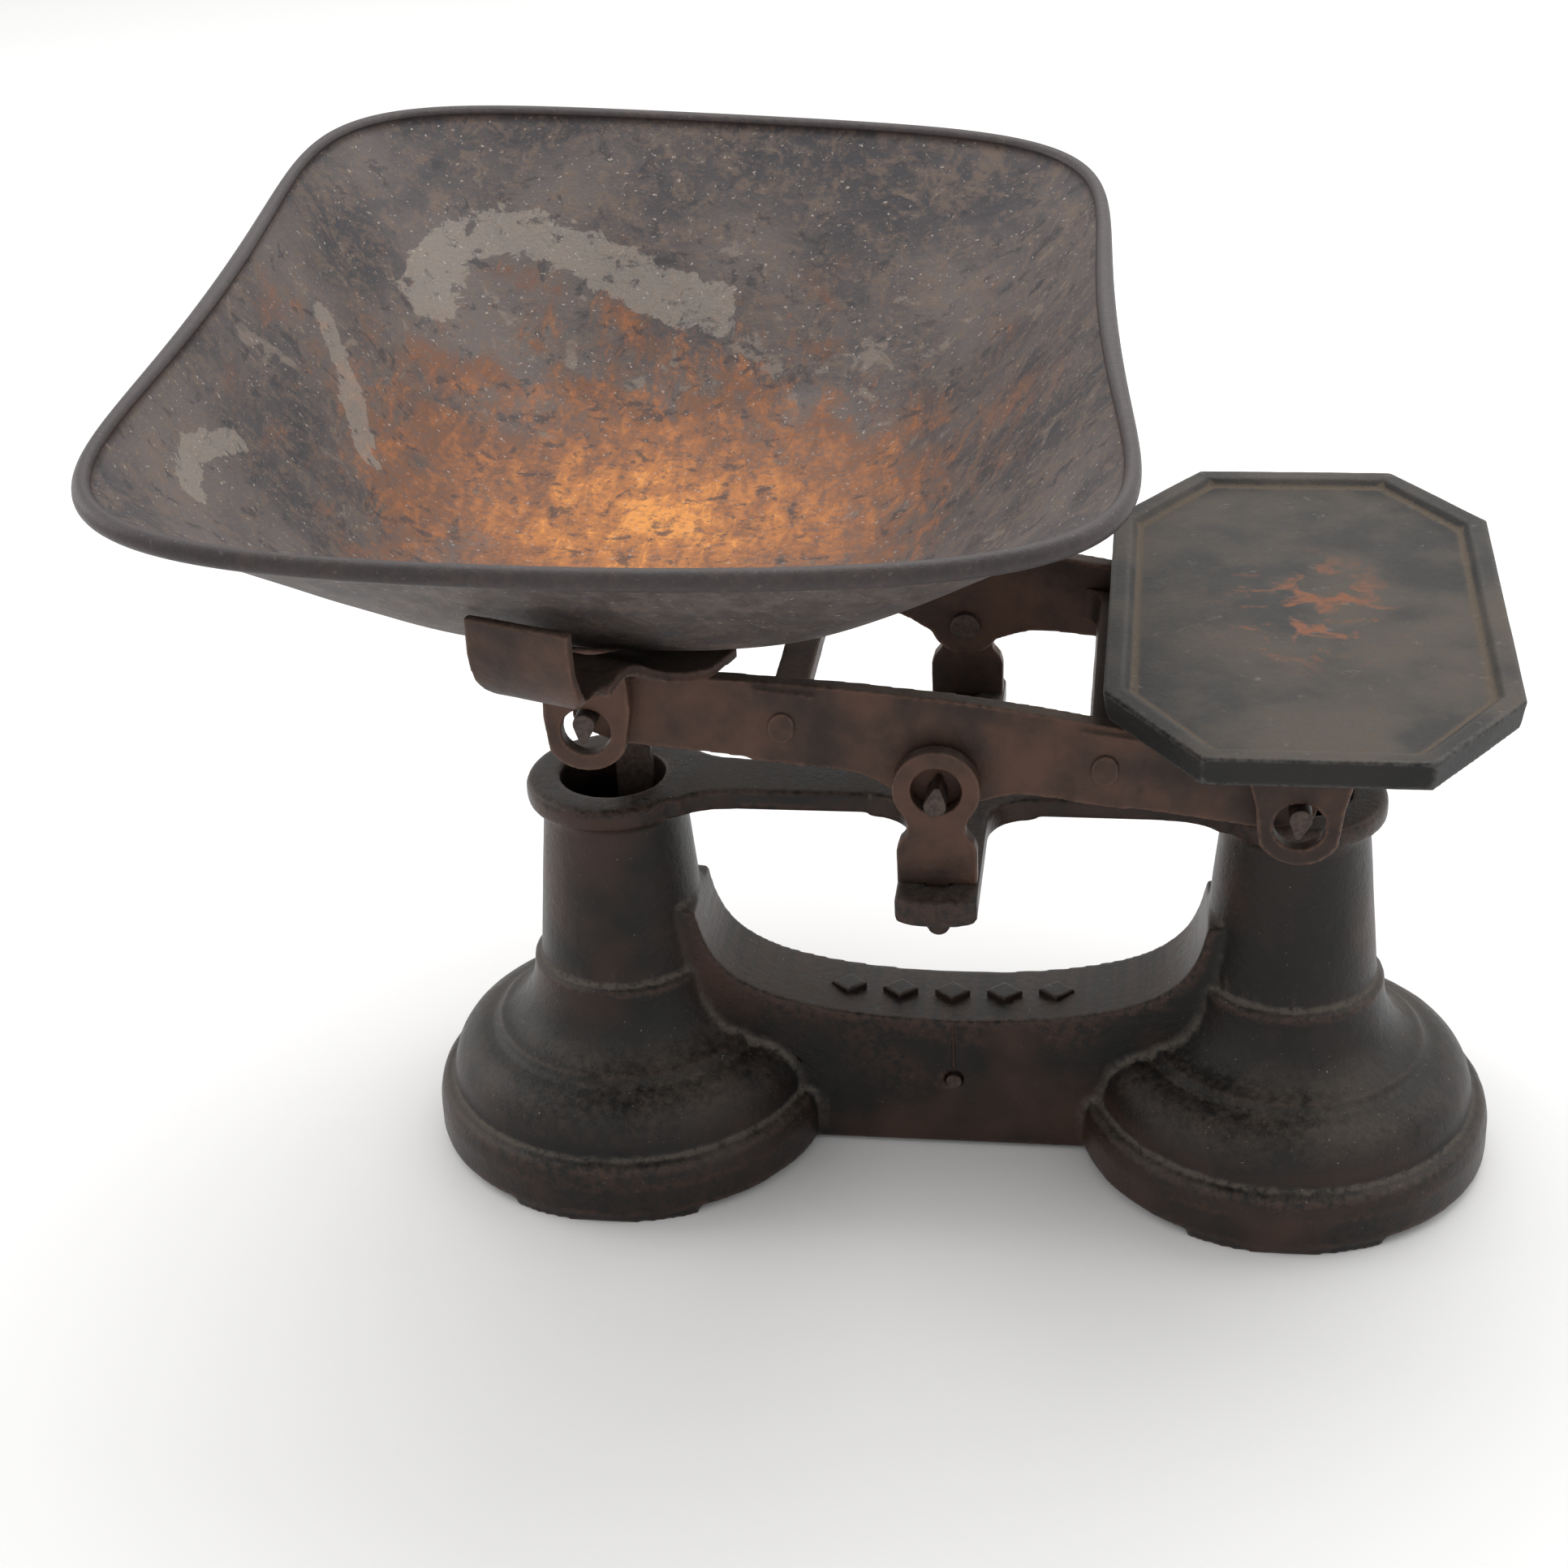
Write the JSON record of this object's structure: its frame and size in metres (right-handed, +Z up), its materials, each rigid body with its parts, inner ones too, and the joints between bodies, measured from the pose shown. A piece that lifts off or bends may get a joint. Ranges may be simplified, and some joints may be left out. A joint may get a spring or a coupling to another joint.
{
  "type": "counter scale",
  "caption": "Antique cast-iron counter scale: pillared base, riveted balance beam on knife pins, loose oblong pan and octagonal weight plate, with a check link inside the base.",
  "frame": {"origin": "on the ground under the middle of the whole scale, pan included; the middle of the base casting is at x = 0.0205", "axes": "+Z up; +X along the beam towards the weight plate, -X towards the pan; -Y is the front"},
  "size_m": [0.3476, 0.3076, 0.267],
  "materials": {
    "base_iron": "old brown-black japanning over cast iron, dusty on its upward faces",
    "bronzed_iron": "cast iron worn to a copper-brown patina",
    "pin_steel": "dull browned steel",
    "link_steel": "dark rusted bar steel",
    "pan_sheet": "worn tinned sheet iron, rusted orange in the middle with pale tin left in patches",
    "plate_iron": "dark grey cast iron, brown dust in the corners and a few rust spots"
  },
  "bodies": {
    "base": {"base_frame": "base_iron", "bearing_front": "bronzed_iron", "bearing_back": "bronzed_iron", "check_pivot_pin": "pin_steel"},
    "beam": {"beam_rail_front": "bronzed_iron", "beam_rail_back": "bronzed_iron", "beam_crossbar_pan": "bronzed_iron", "beam_crossbar_weight": "bronzed_iron", "fulcrum_pin_front": "pin_steel", "fulcrum_pin_back": "pin_steel", "pan_pin_front": "pin_steel", "pan_pin_back": "pin_steel", "weight_pin_front": "pin_steel", "weight_pin_back": "pin_steel"},
    "pan_carrier": {"pan_cradle": "bronzed_iron", "pan_leg": "link_steel"},
    "pan": {"pan": "pan_sheet"},
    "weight_carrier": {"weight_plate": "plate_iron", "weight_yoke": "plate_iron", "weight_leg": "link_steel", "plate_bolt_front": "pin_steel", "plate_bolt_back": "pin_steel"},
    "link": {"check_link": "link_steel", "check_pin_pan": "pin_steel", "check_pin_weight": "pin_steel"}
  },
  "joints": [
    {"name": "beam_tilt", "type": "hinge", "parent": "base", "child": "beam", "pos_m": [0.0217, 0, 0.14], "axis": [0, -1, 0], "range_deg": [0, 13.9]},
    {"name": "pan_carrier_pivot", "type": "hinge", "parent": "beam", "child": "pan_carrier", "pos_m": [-0.06799, 0, 0.15879], "axis": [0, -1, 0], "range_deg": [-13.9, 0]},
    {"name": "weight_carrier_pivot", "type": "hinge", "parent": "beam", "child": "weight_carrier", "pos_m": [0.11327, 0, 0.1367], "axis": [0, -1, 0], "range_deg": [-13.9, 0]},
    {"name": "link_tilt", "type": "hinge", "parent": "base", "child": "link", "pos_m": [0.0217, 0, 0.0234], "axis": [0, -1, 0], "range_deg": [0, 13.9]},
    {"name": "pan_lift", "type": "slide", "parent": "pan_carrier", "child": "pan", "axis": [0, 0, 1], "range_m": [0, 0.1]}
  ],
  "couplings": [
    {"joint": "pan_carrier_pivot", "follows": "beam_tilt", "ratio": -1},
    {"joint": "weight_carrier_pivot", "follows": "beam_tilt", "ratio": -1},
    {"joint": "link_tilt", "follows": "beam_tilt", "ratio": 1}
  ]
}
